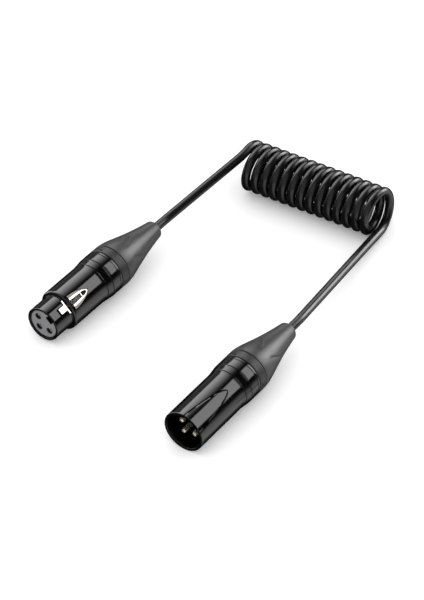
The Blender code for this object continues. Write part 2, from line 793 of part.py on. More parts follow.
def main():
    clear_scene()
    new_collection("xlr_cable_coil")
    new_collection("cutters", helpers=True)
    make_materials()
    frame = add_empty("cable_frame")
    socket = add_empty("socket_connector", frame)
    plug = add_empty("plug_connector", frame)
    lip = NOSE_LENGTH + LIP_ROUND
    tilt = resting_tilt(lip, SHELL_R, SOCKET_SHELL - FLARE_END, COLLAR_R)
    lay_down(socket, SOCKET_PLACE, SOCKET_HEADING, SOCKET_ROLL, tilt, lip, SHELL_R)
    tilt = resting_tilt(EDGE, SHELL_R, PLUG_SHELL - FLARE_END, COLLAR_R)
    lay_down(plug, PLUG_PLACE, PLUG_HEADING, PLUG_ROLL, tilt, EDGE, SHELL_R)
    bpy.context.view_layer.update()
    make_socket_connector(socket)
    make_plug_connector(plug)
    make_coil(frame)
    make_tail("socket_tail", socket, SOCKET_SHELL, COIL_ENDS[0], frame)
    make_tail("plug_tail", plug, PLUG_SHELL, COIL_ENDS[1], frame)
    add_empty("socket_flex", frame).location = cable_route(socket, SOCKET_SHELL, COIL_ENDS[0])[1] * MM
    add_empty("plug_flex", frame).location = cable_route(plug, PLUG_SHELL, COIL_ENDS[1])[1] * MM
    centre_on_floor(frame)


main()
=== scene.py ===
import json
import math

import bmesh
import bpy
from mathutils import Matrix, Vector

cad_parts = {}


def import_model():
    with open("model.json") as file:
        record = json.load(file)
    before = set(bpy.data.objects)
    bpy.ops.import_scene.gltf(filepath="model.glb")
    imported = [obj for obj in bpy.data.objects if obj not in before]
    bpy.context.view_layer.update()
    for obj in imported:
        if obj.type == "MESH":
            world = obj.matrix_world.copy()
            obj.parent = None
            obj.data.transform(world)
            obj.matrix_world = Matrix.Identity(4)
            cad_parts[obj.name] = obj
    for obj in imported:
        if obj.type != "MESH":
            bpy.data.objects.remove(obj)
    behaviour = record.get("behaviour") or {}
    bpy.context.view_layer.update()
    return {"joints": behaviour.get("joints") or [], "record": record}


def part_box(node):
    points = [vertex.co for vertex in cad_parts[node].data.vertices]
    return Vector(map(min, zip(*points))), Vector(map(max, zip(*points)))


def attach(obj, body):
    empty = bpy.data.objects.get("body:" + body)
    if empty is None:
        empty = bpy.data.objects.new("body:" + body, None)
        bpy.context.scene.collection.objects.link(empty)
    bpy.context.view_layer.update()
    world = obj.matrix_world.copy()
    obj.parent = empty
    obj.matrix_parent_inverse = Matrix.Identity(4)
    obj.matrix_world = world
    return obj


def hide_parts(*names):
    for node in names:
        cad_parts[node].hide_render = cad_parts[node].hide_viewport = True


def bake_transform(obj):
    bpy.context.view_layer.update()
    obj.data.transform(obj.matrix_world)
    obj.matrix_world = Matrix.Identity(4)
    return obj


# Each connector is modelled upright, in millimetres: local +Z runs from its mating face to
# its boot and local -Y is its key side. connector_place() then lays it where the frame says.
# A height here is a distance from the connector's axis towards its key side.

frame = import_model()
JOINTS = {joint["name"]: joint for joint in frame["joints"]}
MOUNTS = {mount["name"]: mount for mount in frame["record"]["mounts"]}
MM = 0.001
OUTSIDE = 12.0  # a height outside every shell, where cutters end
GAP = 0.3
SUPPORT = 0.12  # from a rounded edge to the ring that keeps the flat beside it flat

# Cable. The coil's ends and its ease are in turns. The jacket's front is measured from the
# shell's rear face, and the bend at the exit from the boot's tip.
CABLE_R = 2.0
CABLE_BORE_R = CABLE_R + 0.35
CABLE_SIDES = 28
COIL_R = 9.4
COIL_PITCH = 4.59
COIL_ENDS = (-0.028, 14.528)
COIL_STEPS = 80
COIL_EASE = 0.8
COIL_LEAD = 1.0
TAIL_CORNER = 3.0
EXIT_BEND = 7.0
EXIT_REACH = 2.5
JACKET_FRONT = -5.8

# Shells. Grooves and flare are measured forwards from the rear face.
SHELL_R = 9.5
COLLAR_R = 10.15
REAR_BORE_R = 8.2
SHELL_SIDES = 144
RIM_GROOVE_FROM_REAR = 1.3
GROOVES_FROM_REAR = (6.0, 9.4)
FLARE_START = 11.7
FLARE_END = 4.4
SHELL_LENGTH = {"socket": 41.6, "plug": 40.3}
INSERT = {"socket": (0.6, 25.0), "plug": (14.8, 24.0)}
INSERT_R = {"socket": 6.75, "plug": 7.9}

NOSE_R = 8.0
NOSE_BORE_R = 7.0
NOSE_LENGTH = 10.4
NOSE_BORE_FROM_REAR = 16.0
LIP_ROUND = 1.2
NOTCH = (-0.5, 8.0)
NOTCH_HALF_WIDTH = 1.8
NOTCH_FLOOR = 3.8

FACET_LENGTH = 23.7
FACET_HALF_WIDTH = 5.15
FACET_R = 9.42
FACET_LINE_DEPTH = 0.3
FACET_LINE_WIDTH = 0.62
FACET_LINE_FADE = 0.3
SEAM_ANGLE = 43.0
SEAM_START = 24.0
SEAM_HALF_WIDTH = 0.12

# Contacts, at angles round the axis from local +X.
CONTACT_CIRCLE = 3.9
CONTACT_ANGLES = (180.0, 0.0, 90.0)
PIN_R = 1.2
PIN_TIP = 2.8
TUBE_R = 1.75
TUBE = (2.2, 14.0)
TUBE_BORE_R = 1.25
CUP_R = 1.4
CUP_BORE_R = 1.0
CUP_DEPTH = 4.5
CUP_PAST_INSERT = 5.0
WIRE_R = 0.55
CAVITY_R = 2.0
ENTRY_R = 1.4
ENTRY_LENGTH = 1.3
FUNNEL_R = 1.75
FUNNEL_DEPTH = 0.35
CHANNEL_FLOOR = 5.2
CHANNEL_HALF_WIDTH = 1.7
PIN_SEAT_R = 1.65
PIT_R = 0.26
PIT_DEPTH = 0.3
PIT_SPACING = 0.72
PIT_FROM_CONTACT = 2.3

# Latch. The pivot is (height, distance along the axis), and HEIGHTS are pairs of heights. The
# slopes are in degrees. Other pairs run along the axis.
LATCH_PIVOT = (7.6, 24.0)
LATCH_PIN_R = 0.6
PIN_HOLE_GAP = 0.08
LATCH_GAP = 0.35
SLOT_FLOOR = 5.0
WINDOW_FLOOR = 6.0
LIP_UNDERSIDE = 8.1
POCKET = (20.0, 25.8)
POCKET_TOP = 8.7
POCKET_HALF_WIDTH = 1.8
TAB = (12.0, 22.4)
TAB_HALF_WIDTH = 3.3
TAB_UNDERSIDE = 7.5
TAB_TOP = 9.62
TAB_SLOPES = (2.0, 25.0)
RIDGE = (18.1, 18.45)
TROUGH_END = TAB[1] - 0.9
TROUGH_DEPTH = 0.75
HOOK = (4.9, 8.6)
HOOK_HALF_WIDTH = 1.25
HOOK_FOOT = 6.7
HOOK_TOP = 8.9
ARM_HEIGHTS = (6.6, 7.75)
BAR_TOP = 8.25
TONGUE_START = 19.0
TONGUE_HEIGHTS = (6.95, 8.3)
TONGUE_HALF_WIDTH = 1.4
CROSS_BAR = (8.75, 9.75)
CROSS_HALF_WIDTH = 3.2
SPRING = (14.2, 18.8)
SPRING_FEET = 5.5
SPRING_BOW = 1.5
LEAF_THICKNESS = 0.25
LEAF_HALF_WIDTH = 1.2

# Clamp, nut and boot. The clamp and the sleeve are measured from the shell's rear face. The
# pulls that shape the boot are (radius, distance behind its front), and its creases cover a
# range of degrees either side of the key side.
CLAMP = (-10.3, 7.2)
CLAMP_FLANGE = -7.5
CLAMP_FLANGE_R = 7.5
CLAMP_MOUTH_R = 5.9
CLAMP_R = 5.2
CLAMP_TIP_R = 3.6
SLIT_HALF_WIDTH = 0.4
SLIT_LENGTH = 9.0
COLLAR_LENGTH = 4.1
SLEEVE_FRONT = -7.2
SLEEVE_R = 7.85
SLEEVE_BORE_R = 5.55
SLEEVE_RINGS = 56
THREAD_LEAD = 1.0
THREAD_DEPTH = 0.42
NUT_NOTCHES = (-57.0, 57.0, -123.0, 123.0)
SPIGOT_R = 7.4
SPIGOT_LENGTH = 4.5
BOOT_LENGTH = 30.7
BOOT_END_R = 4.25
BOOT_TIP_ROUND = 1.5
BOOT_PULLS = ((7.1, 11.0), (9.9, 6.5))
CREASE_DEPTH = 0.5
CREASE_START = 3.8
CREASE_SLANT = 0.22
CREASE_ANGLES = (14.0, 54.0)


# ---------------------------------------------------------------- places


def connector_place(kind):
    """The matrix from a connector's upright millimetres to its place in the frame."""
    nut = JOINTS[f"{kind}_nut_turn"]
    along = Vector(nut["axis"]).normalized()
    origin = Vector(nut["pos_m"]) - along * SHELL_LENGTH[kind] * MM
    if kind == "socket":
        across = Vector(JOINTS["latch_press"]["axis"])
    else:
        across = Vector(MOUNTS["plug_rim"]["pos_m"]) - origin
    across = (across - along * across.dot(along)).normalized()
    turn = Matrix((across, along.cross(across), along)).transposed().to_4x4()
    return Matrix.Translation(origin) @ turn @ Matrix.Scale(MM, 4)


PLACE = {kind: connector_place(kind) for kind in SHELL_LENGTH}


def contact_places():
    angles = [math.radians(angle) for angle in CONTACT_ANGLES]
    return [(CONTACT_CIRCLE * math.cos(a), CONTACT_CIRCLE * math.sin(a)) for a in angles]


# ---------------------------------------------------------------- outlines


def quadratic(start, corner, end, steps):
    """Points along a curve that turns a corner."""
    points = []
    for i in range(steps + 1):
        t = i / steps
        points.append(start * (1 - t) ** 2 + corner * 2 * t * (1 - t) + end * t**2)
    return points


def rounded(corners, steps=4):
    """(radius, distance) points of an outline of (radius, distance, fillet) corners."""
    count = len(corners)
    points = []
    for i, (r, z, fillet) in enumerate(corners):
        here = Vector((r, z))
        before = Vector(corners[i - 1][:2])
        after = Vector(corners[(i + 1) % count][:2])
        reach = min(fillet, 0.49 * (before - here).length, 0.49 * (after - here).length)
        if reach < 1e-4:
            points.append((r, z))
            continue
        back = (before - here).normalized()
        ahead = (after - here).normalized()
        start = here + back * reach
        end = here + ahead * reach
        if (before - start).length > 1.0:
            points.append(tuple(start + back * SUPPORT))
        points += [tuple(spot) for spot in quadratic(start, here, end, steps)]
        if (after - end).length > 1.0:
            points.append(tuple(end + ahead * SUPPORT))
    return points


def sharp(points):
    return [(r, z, 0.0) for r, z in points]


def bezier(points, steps):
    found = []
    for i in range(steps + 1):
        t = i / steps
        weights = ((1 - t) ** 3, 3 * t * (1 - t) ** 2, 3 * t**2 * (1 - t), t**3)
        found.append(tuple(sum(w * p[k] for w, p in zip(weights, points)) for k in (0, 1)))
    return found


def arc(centre, radius, first, last, steps):
    angles = [math.radians(first + (last - first) * i / steps) for i in range(steps + 1)]
    return [(centre[0] + radius * math.cos(a), centre[1] + radius * math.sin(a)) for a in angles]


def groove(radius, middle, width=0.42, depth=0.3):
    """Corners of a cut ring, for a side that runs from the rear forwards."""
    rear = middle + width / 2
    front = middle - width / 2
    floor = radius - depth
    return [(radius, rear, 0.09), (floor, rear, 0.05), (floor, front, 0.05), (radius, front, 0.09)]


def shell_rear(length):
    """Corners of a shell's outside from its rear face to its plain barrel."""
    end = length - FLARE_END
    start = length - FLARE_START
    flare = bezier(
        ((COLLAR_R, end), (COLLAR_R, end - 2.5), (SHELL_R, start + 2.5), (SHELL_R, start)), 28
    )
    corners = [(COLLAR_R, length, 0.35)]
    corners += groove(COLLAR_R, length - RIM_GROOVE_FROM_REAR, 0.35, 0.25)
    middles = [length - distance for distance in GROOVES_FROM_REAR]
    for r, z in flare:
        while middles and z < middles[0] + 0.3:
            corners += groove(r, middles.pop(0))
        if all(abs(z - (length - distance)) > 0.3 for distance in GROOVES_FROM_REAR):
            corners.append((r, z, 0.0))
    return corners


# ---------------------------------------------------------------- meshes


def new_piece(name, shape):
    mesh = bpy.data.meshes.new(name)
    bmesh.ops.recalc_face_normals(shape, faces=shape.faces)
    shape.to_mesh(mesh)
    shape.free()
    piece = bpy.data.objects.new(name, mesh)
    bpy.context.scene.collection.objects.link(piece)
    return piece


def skin(name, rows):
    """A closed piece from rings of points, joined in order and capped at both ends."""
    shape = bmesh.new()
    rings = [[shape.verts.new(spot) for spot in row] for row in rows]
    for first, second in zip(rings, rings[1:]):
        count = len(first)
        for k in range(count):
            j = (k + 1) % count
            shape.faces.new((first[k], first[j], second[j], second[k]))
    shape.faces.new(rings[0])
    shape.faces.new(rings[-1])
    return new_piece(name, shape)


def revolve(name, outline, steps, relief=None, at=(0.0, 0.0)):
    """Sweeps an outline round local Z: a ring if it stays off the axis, else closed at its poles.
    relief(angle, radius, distance) adds to the radius."""
    shape = bmesh.new()
    rings = []
    for r, z in outline:
        if r < 1e-6:
            rings.append([shape.verts.new((at[0], at[1], z))] * steps)
            continue
        ring = []
        for j in range(steps):
            angle = 2 * math.pi * j / steps
            out = r + (relief(angle, r, z) if relief else 0.0)
            spot = (at[0] + out * math.cos(angle), at[1] + out * math.sin(angle), z)
            ring.append(shape.verts.new(spot))
        rings.append(ring)
    solid = outline[0][0] < 1e-6
    pairs = list(zip(rings, rings[1:])) + ([] if solid else [(rings[-1], rings[0])])
    for upper, lower in pairs:
        for j in range(steps):
            k = (j + 1) % steps
            corners = []
            for vert in (lower[j], lower[k], upper[k], upper[j]):
                if vert not in corners:
                    corners.append(vert)
            if len(corners) > 2:
                shape.faces.new(corners)
    return new_piece(name, shape)


def prism(name, ring, low, high):
    """A block with an outline of (x, distance along the axis) points, between two heights."""
    return skin(name, [[(x, -height, z) for x, z in ring] for height in (low, high)])


def profile_block(name, half_width, outline):
    """A block with an outline of (height, distance along the axis) points, spread across X."""
    sides = (-half_width, half_width)
    return skin(name, [[(x, -height, z) for height, z in outline] for x in sides])


def block(name, x, height, z):
    """A box from ranges across, of height, and along the axis."""
    shape = bmesh.new()
    low = Vector((x[0], -height[1], z[0]))
    high = Vector((x[1], -height[0], z[1]))
    size = Matrix.Diagonal((*(high - low), 1.0))
    bmesh.ops.create_cube(shape, size=1.0, matrix=Matrix.Translation((low + high) / 2) @ size)
    return new_piece(name, shape)


def cross_rod(name, radius, half_length, centre, steps=48, round_end=0.0):
    """A rod along local X, centred at (height, distance along the axis)."""
    corners = [(0.0, half_length, 0.0), (radius, half_length, round_end)]
    corners += [(radius, -half_length, round_end), (0.0, -half_length, 0.0)]
    rod = revolve(name, rounded(corners), steps)
    rod.data.transform(Matrix.Rotation(math.radians(90.0), 4, "Y"))
    rod.data.transform(Matrix.Translation((0.0, -centre[0], centre[1])))
    return rod


def strip(name, half_width, path, thickness, corner):
    """A leaf bent along (height, distance along the axis) points, its ends narrower by corner."""
    rows = []
    count = len(path)
    for i, (height, z) in enumerate(path):
        ahead = path[min(i + 1, count - 1)]
        behind = path[max(i - 1, 0)]
        way = Vector((ahead[0] - behind[0], ahead[1] - behind[1])).normalized()
        off = Vector((way.y, -way.x)) * thickness / 2
        reach = half_width - (corner if i in (0, count - 1) else 0.0)
        row = []
        for side, face in ((-1, 1), (1, 1), (1, -1), (-1, -1)):
            row.append((side * reach, -(height + face * off.x), z + face * off.y))
        rows.append(row)
    return skin(name, rows)


def carve(piece, operation, *helpers):
    """Applies Booleans with the helpers to a piece's mesh, in turn, and removes the helpers."""
    for helper in helpers:
        boolean = piece.modifiers.new("carve", "BOOLEAN")
        boolean.operation = operation
        boolean.solver = "EXACT"
        boolean.object = helper
        bake(piece)
        bpy.data.objects.remove(helper, do_unlink=True)


def bake(piece):
    """Replaces a piece's mesh by what its modifiers make."""
    graph = bpy.context.evaluated_depsgraph_get()
    mesh = bpy.data.meshes.new_from_object(piece.evaluated_get(graph))
    piece.modifiers.clear()
    piece.data = mesh


def store_upright(mesh, spots):
    """Keeps each point's upright millimetres, which the materials read as coordinates."""
    mesh.attributes.new("upright", "FLOAT_VECTOR", "POINT").data.foreach_set("vector", spots)


def shade(mesh, angle):
    """Smooth shading, with edges kept sharp above an angle in degrees."""
    mesh.polygons.foreach_set("use_smooth", [True] * len(mesh.polygons))
    mesh.set_sharp_from_angle(angle=math.radians(angle))
    mesh.update()


def settle(piece, kind, body, node, slot, angle=30.0):
    """Lays a finished upright piece in the frame, on its body if it has one, with its material."""
    mesh = piece.data
    mesh.name = piece.name
    store_upright(mesh, [value for vertex in mesh.vertices for value in vertex.co])
    shade(mesh, angle)
    mesh.transform(PLACE[kind])
    if body:
        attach(piece, body)
    dress(piece, slot, node)


def dress(piece, slot, *nodes):
    """Gives a piece its slot's material, in place of the CAD nodes it stands for."""
    piece.data.materials.clear()
    piece.data.materials.append(FINISH[slot])
    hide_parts(*nodes)


# ---------------------------------------------------------------- materials


class Tree:
    """Adds nodes to a node tree, and sets or links their inputs."""

    def __init__(self, tree):
        self.nodes = tree.nodes
        self.links = tree.links

    def add(self, kind, **settings):
        node = self.nodes.new(kind)
        for key, value in settings.items():
            setattr(node, key, value)
        return node

    def feed(self, socket, value):
        if isinstance(value, bpy.types.NodeSocket):
            self.links.new(value, socket)
        else:
            socket.default_value = value

    def maths(self, operation, *values):
        node = self.add("ShaderNodeMath", operation=operation)
        for socket, value in zip(node.inputs, values):
            self.feed(socket, value)
        return node.outputs["Value"]

    def step(self, value, low, high):
        """A smooth step from 0 at low to 1 at high."""
        node = self.add("ShaderNodeMapRange", interpolation_type="SMOOTHSTEP")
        self.feed(node.inputs["Value"], value)
        self.feed(node.inputs["From Min"], low)
        self.feed(node.inputs["From Max"], high)
        return node.outputs["Result"]

    def dot(self, vector, axis):
        node = self.add("ShaderNodeVectorMath", operation="DOT_PRODUCT")
        self.feed(node.inputs[0], vector)
        self.feed(node.inputs[1], axis)
        return node.outputs["Value"]


class Finish(Tree):
    """A Principled material whose inputs are driven by procedural nodes, in millimetres."""

    def __init__(self, name, metallic=0.0):
        self.material = bpy.data.materials.new(name)
        self.material.use_nodes = True
        super().__init__(self.material.node_tree)
        self.shader = self.nodes["Principled BSDF"]
        self.shader.inputs["Metallic"].default_value = metallic
        self.spots = self.add("ShaderNodeAttribute", attribute_name="upright").outputs["Vector"]

    def noise(self, scale, detail, stretch=(1.0, 1.0, 1.0)):
        mapping = self.add("ShaderNodeMapping")
        self.feed(mapping.inputs["Vector"], self.spots)
        self.feed(mapping.inputs["Scale"], stretch)
        node = self.add("ShaderNodeTexNoise")
        self.feed(node.inputs["Vector"], mapping.outputs["Vector"])
        self.feed(node.inputs["Scale"], scale)
        self.feed(node.inputs["Detail"], detail)
        return node.outputs["Fac"]

    def cells(self, scale):
        node = self.add("ShaderNodeTexVoronoi")
        self.feed(node.inputs["Vector"], self.spots)
        self.feed(node.inputs["Scale"], scale)
        return node.outputs["Distance"]

    def waves(self, scale, direction, distortion):
        node = self.add("ShaderNodeTexWave", bands_direction=direction)
        self.feed(node.inputs["Vector"], self.spots)
        self.feed(node.inputs["Scale"], scale)
        self.feed(node.inputs["Distortion"], distortion)
        return node.outputs["Fac"]

    def span(self, value, low, high, from_low=0.3, from_high=0.7):
        """Maps a range of a value, the middle of a noise unless stated, onto low to high."""
        node = self.add("ShaderNodeMapRange")
        self.feed(node.inputs["Value"], value)
        self.feed(node.inputs["From Min"], from_low)
        self.feed(node.inputs["From Max"], from_high)
        self.feed(node.inputs["To Min"], low)
        self.feed(node.inputs["To Max"], high)
        return node.outputs["Result"]

    def blend_colors(self, factor, low, high):
        node = self.add("ShaderNodeMix", data_type="RGBA")
        self.feed(node.inputs["Factor"], factor)
        for socket, color in ((node.inputs[6], low), (node.inputs[7], high)):
            self.feed(socket, color if isinstance(color, bpy.types.NodeSocket) else (*color, 1.0))
        return node.outputs[2]

    def color(self, factor, low, high):
        self.feed(self.shader.inputs["Base Color"], self.blend_colors(factor, low, high))

    def roughness(self, value):
        self.feed(self.shader.inputs["Roughness"], value)

    def bump(self, height, depth):
        node = self.add("ShaderNodeBump")
        self.feed(node.inputs["Height"], height)
        self.feed(node.inputs["Distance"], depth * MM)
        self.feed(self.shader.inputs["Normal"], node.outputs["Normal"])


def gloss_black_shell():
    finish = Finish("gloss_black_shell")
    cloud = finish.noise(0.35, 2.0)
    specks = finish.noise(9.0, 2.0)
    scratches = finish.noise(2.2, 5.0, (6.0, 6.0, 0.5))
    finish.color(cloud, (0.0008, 0.0008, 0.0009), (0.0018, 0.0018, 0.0020))
    marks = finish.span(scratches, 0.0, 0.04, 0.6, 0.85)
    finish.roughness(finish.maths("ADD", finish.span(cloud, 0.08, 0.11), marks))
    finish.feed(finish.shader.inputs["Specular IOR Level"], 0.62)
    finish.bump(specks, 0.004)
    return finish.material


def grey_insert():
    finish = Finish("grey_insert_plastic")
    cloud = finish.noise(0.6, 3.0)
    grain = finish.noise(14.0, 2.0)
    depth = finish.add("ShaderNodeSeparateXYZ")
    finish.feed(depth.inputs[0], finish.spots)
    # Painted shade: everything deeper than the insert's face (bores, notch, channel, pits and sides)
    # is coloured near black to stand in for the shade inside the recesses; only the face keeps its
    # grey.
    painted_recess_shade = finish.span(depth.outputs["Z"], 0.0, 1.0, 0.68, 0.95)
    face = finish.blend_colors(cloud, (0.17, 0.17, 0.175), (0.22, 0.22, 0.225))
    finish.color(painted_recess_shade, face, (0.006, 0.006, 0.006))
    finish.roughness(finish.span(grain, 0.42, 0.62))
    finish.bump(grain, 0.012)
    return finish.material


def black_insert():
    finish = Finish("black_insert_plastic")
    cloud = finish.noise(0.6, 3.0)
    grain = finish.noise(12.0, 2.0)
    finish.color(cloud, (0.006, 0.006, 0.0065), (0.013, 0.013, 0.014))
    finish.roughness(finish.span(grain, 0.4, 0.6))
    finish.bump(grain, 0.01)
    return finish.material


def gold_contact():
    finish = Finish("pale_gold_plating", 0.88)
    turned = finish.noise(3.0, 3.0, (0.4, 0.4, 14.0))
    cloud = finish.noise(1.2, 2.0)
    finish.color(cloud, (0.88, 0.80, 0.55), (0.95, 0.90, 0.72))
    finish.roughness(finish.span(turned, 0.14, 0.3))
    finish.bump(turned, 0.001)
    return finish.material


def latch_chrome():
    finish = Finish("polished_chrome", 1.0)
    cloud = finish.noise(0.9, 3.0)
    polish = finish.noise(3.0, 4.0, (8.0, 1.0, 0.6))
    finish.color(cloud, (0.66, 0.63, 0.57), (0.76, 0.73, 0.68))
    finish.roughness(finish.span(polish, 0.08, 0.18))
    finish.bump(polish, 0.003)
    return finish.material


def spring_steel():
    finish = Finish("rolled_spring_steel", 1.0)
    grain = finish.noise(2.5, 4.0, (10.0, 1.0, 0.7))
    tint = finish.noise(0.5, 2.0)
    finish.color(tint, (0.44, 0.43, 0.41), (0.60, 0.59, 0.57))
    finish.roughness(finish.span(grain, 0.22, 0.45))
    finish.bump(grain, 0.006)
    return finish.material


def nylon_clamp():
    finish = Finish("natural_nylon")
    cloud = finish.noise(0.4, 3.0)
    grain = finish.noise(10.0, 2.0)
    finish.color(cloud, (0.62, 0.60, 0.54), (0.74, 0.72, 0.67))
    finish.roughness(finish.span(grain, 0.38, 0.55))
    finish.bump(grain, 0.01)
    return finish.material


def satin_nut():
    finish = Finish("satin_black_nut")
    finish.feed(finish.shader.inputs["Specular IOR Level"], 0.4)
    cloud = finish.noise(0.5, 3.0)
    grain = finish.noise(11.0, 3.0)
    finish.color(cloud, (0.014, 0.014, 0.015), (0.022, 0.022, 0.023))
    finish.roughness(finish.span(grain, 0.34, 0.48))
    finish.bump(grain, 0.014)
    return finish.material


def boot_rubber():
    finish = Finish("soft_touch_rubber")
    cloud = finish.noise(0.25, 4.0)
    grain = finish.cells(6.0)
    fine = finish.noise(13.0, 3.0)
    finish.color(cloud, (0.026, 0.026, 0.027), (0.034, 0.034, 0.036))
    finish.roughness(finish.span(fine, 0.36, 0.46))
    finish.bump(finish.maths("ADD", finish.maths("MULTIPLY", grain, 0.4), fine), 0.012)
    return finish.material


def cable_jacket():
    finish = Finish("extruded_jacket")
    cloud = finish.noise(0.18, 3.0)
    draw = finish.noise(2.0, 4.0, (2.2, 2.2, 0.12))
    grain = finish.noise(12.0, 2.0)
    finish.color(cloud, (0.002, 0.002, 0.0022), (0.005, 0.005, 0.0055))
    finish.roughness(finish.span(draw, 0.2, 0.3))
    finish.bump(finish.maths("ADD", finish.maths("MULTIPLY", grain, 0.3), draw), 0.02)
    return finish.material


def core_insulation(name, low, high):
    finish = Finish(name)
    cloud = finish.noise(1.0, 3.0)
    finish.color(cloud, low, high)
    finish.roughness(finish.span(cloud, 0.3, 0.45))
    finish.bump(finish.noise(9.0, 2.0), 0.006)
    return finish.material


def twisted_screen():
    finish = Finish("twisted_copper_screen", 1.0)
    strands = finish.waves(1.6, "DIAGONAL", 1.0)
    finish.color(strands, (0.50, 0.27, 0.16), (0.86, 0.56, 0.38))
    finish.roughness(finish.span(strands, 0.25, 0.4, 0.0, 1.0))
    finish.bump(strands, 0.06)
    return finish.material


FINISH = {
    "shell_black": gloss_black_shell(),
    "insert_grey": grey_insert(),
    "insert_black": black_insert(),
    "contact_gold": gold_contact(),
    "latch_chrome": latch_chrome(),
    "spring_steel": spring_steel(),
    "clamp_plastic": nylon_clamp(),
    "nut_black": satin_nut(),
    "boot_rubber": boot_rubber(),
    "cable_jacket": cable_jacket(),
    "wire_red": core_insulation("red_core", (0.42, 0.02, 0.015), (0.60, 0.04, 0.03)),
    "wire_white": core_insulation("white_core", (0.70, 0.70, 0.67), (0.84, 0.84, 0.81)),
    "wire_screen": twisted_screen(),
}


# ---------------------------------------------------------------- socket connector


def tab_taper(t):
    """The tab's width as a share of its full width, from its front (0) to its rear tip (1)."""
    return max(1 - t**2.1, 0.0) ** 0.75


def tab_outline(margin, steps):
    """Half of the thumb tab's outline: (half width, distance along the axis)."""
    start = TAB[0] - margin
    length = TAB[1] - TAB[0] + 2 * margin
    width = TAB_HALF_WIDTH + margin
    return [(width * tab_taper(i / steps), start + length * i / steps) for i in range(steps + 1)]


def mirrored(half):
    """A closed ring from a half outline that ends on the middle line."""
    return list(half) + [(-x, z) for x, z in reversed(half[:-1])]


def socket_shell():
    length = SHELL_LENGTH["socket"]
    rear = length - NOSE_BORE_FROM_REAR
    corners = shell_rear(length)
    corners.append((SHELL_R, NOSE_LENGTH + LIP_ROUND + SUPPORT, 0.0))
    corners += sharp(arc((SHELL_R - LIP_ROUND, NOSE_LENGTH + LIP_ROUND), LIP_ROUND, 0, -90, 8))
    corners += [(NOSE_R, NOSE_LENGTH, 0.25), (NOSE_R, 0.0, 0.4), (NOSE_BORE_R, 0.0, 0.25)]
    corners += [(NOSE_BORE_R, rear, 0.0), (REAR_BORE_R, rear + 1.0, 0.0), (REAR_BORE_R, length, 0.3)]
    shell = revolve("socket_shell_casting", rounded(corners), SHELL_SIDES)
    carve(shell, "DIFFERENCE", *latch_openings())
    settle(shell, "socket", "socket_body", "socket_shell", "shell_black")


def latch_openings():
    """The shell's window for the tab, slots for hook and cross bar, and room for arm and pin."""
    half = HOOK_HALF_WIDTH + LATCH_GAP
    cross = CROSS_HALF_WIDTH + LATCH_GAP
    pocket = (-POCKET_HALF_WIDTH, POCKET_HALF_WIDTH)
    cut = (SLOT_FLOOR, OUTSIDE)
    z_hook = (HOOK[0] - 0.4, NOSE_LENGTH - 0.2)
    z_lip = (NOSE_LENGTH - 0.7, TAB[0] + 1.0)
    z_cross = (CROSS_BAR[0] - 0.1, CROSS_BAR[1] + 0.1)
    return (
        prism("window", mirrored(tab_outline(LATCH_GAP, 28)), WINDOW_FLOOR, OUTSIDE),
        block("hook_slot", (-half, half), cut, z_hook),
        block("under_lip", (-half, half), (SLOT_FLOOR, LIP_UNDERSIDE), z_lip),
        block("cross_slot", (-cross, cross), cut, z_cross),
        block("pocket", pocket, (SLOT_FLOOR, POCKET_TOP), POCKET),
        cross_rod("pin_hole", LATCH_PIN_R + PIN_HOLE_GAP, 3.8, LATCH_PIVOT),
    )


def contact_bores(profile):
    return [revolve(f"bore_{x:.1f}_{y:.1f}", profile, 40, at=(x, y)) for x, y in contact_places()]


def socket_insert():
    start, end = INSERT["socket"]
    radius = INSERT_R["socket"]
    corners = [(0.0, end, 0.0), (radius, end, 0.4), (radius, start, 0.4), (0.0, start, 0.0)]
    insert = revolve("socket_contact_carrier", rounded(corners), 96)
    above = NOSE_R + 1.0
    behind = end + 1.0
    entry = start + ENTRY_LENGTH
    profile = [(0.0, behind), (CAVITY_R, behind), (CAVITY_R, entry), (ENTRY_R, entry)]
    profile += [(ENTRY_R, start + FUNNEL_DEPTH), (FUNNEL_R, start - 0.01)]
    profile += [(FUNNEL_R, start - 1.0), (0.0, start - 1.0)]
    wide = CROSS_HALF_WIDTH + 0.5
    z_cross = (CROSS_BAR[0] - 0.5, CROSS_BAR[1] + 0.5)
    channel = (-CHANNEL_HALF_WIDTH, CHANNEL_HALF_WIDTH)
    notch = (-NOTCH_HALF_WIDTH, NOTCH_HALF_WIDTH)
    carve(
        insert,
        "DIFFERENCE",
        *contact_bores(profile),
        block("channel", channel, (CHANNEL_FLOOR, above), (NOTCH[0], behind)),
        block("cross_pocket", (-wide, wide), (CHANNEL_FLOOR, above), z_cross),
        block("key_notch", notch, (NOTCH_FLOOR, above), NOTCH),
    )
    for count, place in enumerate(contact_places(), 1):
        carve(insert, "DIFFERENCE", *marking_pits(count, place, start))
    settle(insert, "socket", "socket_body", "socket_insert", "insert_grey")


def marking_pits(count, contact, face):
    """One, two or three small pits beside a contact, on its key side, that tell contacts apart."""
    floor = face + PIT_DEPTH
    outline = [(0.0, floor), (PIT_R, floor), (PIT_R, face - 0.3), (0.0, face - 0.3)]
    pits = []
    for i in range(count):
        spot = (contact[0] + (i - (count - 1) / 2) * PIT_SPACING, contact[1] - PIT_FROM_CONTACT)
        pits.append(revolve(f"pit_{i}", outline, 16, at=spot))
    return pits


def cup_corners(insert_end):
    """The solder cup at a contact's rear, from the bottom of its bore to its outside."""
    rear = insert_end + CUP_PAST_INSERT
    floor = rear - CUP_DEPTH
    bore = [(0.0, floor, 0.0), (CUP_BORE_R, floor, 0.2), (CUP_BORE_R, rear, 0.08)]
    return bore + [(CUP_R, rear, 0.12)]


